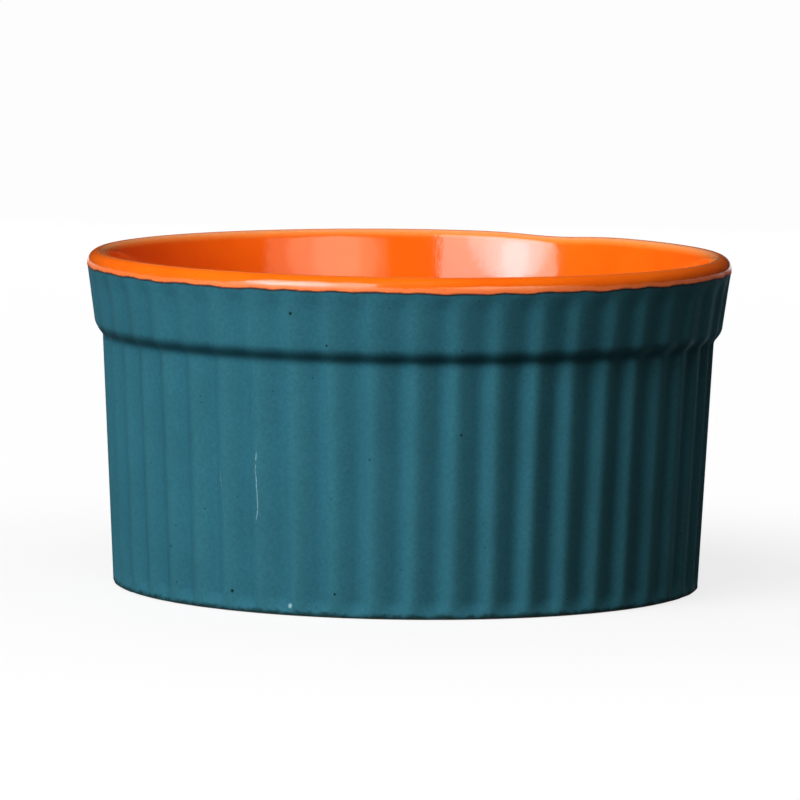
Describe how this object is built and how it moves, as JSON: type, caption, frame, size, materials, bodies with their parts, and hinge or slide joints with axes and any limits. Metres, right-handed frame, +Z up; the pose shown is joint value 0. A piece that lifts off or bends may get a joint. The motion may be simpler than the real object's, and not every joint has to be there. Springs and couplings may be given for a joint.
{
  "type": "ramekin",
  "caption": "Small round stoneware baking dish with a fluted wall, a wider fluted band under a rounded lip, teal outside and orange inside.",
  "frame": {"origin": "middle of the base, on the surface that the foot ring rests on", "axes": "+Z up along the axis of the round pot, front towards -Y"},
  "size_m": [0.09, 0.09, 0.0465],
  "materials": {
    "bare_stoneware": "unglazed, fine grained",
    "orange_gloss_glaze": "high gloss",
    "teal_satin_glaze": "satin glaze with fine mottling"
  },
  "bodies": {
    "root": {"stoneware_body": "bare_stoneware", "interior_glaze": "orange_gloss_glaze", "exterior_glaze": "teal_satin_glaze", "underside_glaze": "teal_satin_glaze"}
  },
  "joints": []
}
